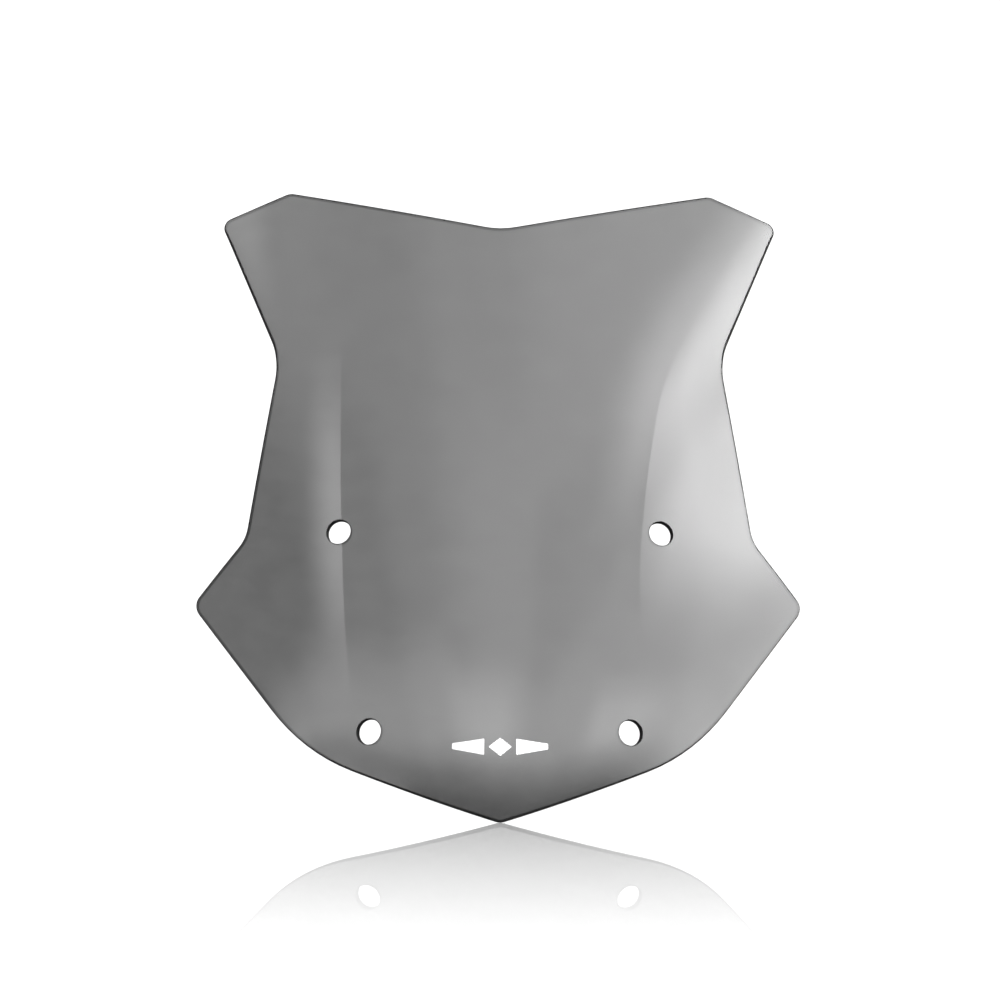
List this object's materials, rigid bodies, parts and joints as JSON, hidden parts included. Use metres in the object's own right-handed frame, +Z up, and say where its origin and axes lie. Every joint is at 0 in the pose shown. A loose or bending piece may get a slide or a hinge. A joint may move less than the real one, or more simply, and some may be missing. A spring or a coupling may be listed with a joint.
{
  "type": "windshield screen",
  "caption": "Smoke tinted motorcycle windshield screen: a curved sheet with angular wings, a pointed lower tip, a notched top edge and open mounting holes.",
  "frame": {"origin": "middle of the bounding box in X and Y, level with the lower tip in Z", "axes": "+Z up with the screen standing on its lower tip and leaning back about 20 degrees, -Y forward out of the convex front face, +X to the right seen from the front"},
  "size_m": [0.3888, 0.189, 0.3953],
  "materials": {
    "smoke_acrylic": "polished, see-through smoke tint",
    "white_print": "flat printed ink"
  },
  "bodies": {
    "root": {"screen_sheet": "smoke_acrylic", "mark_bar_left": "white_print", "mark_diamond": "white_print", "mark_bar_right": "white_print"}
  },
  "joints": []
}
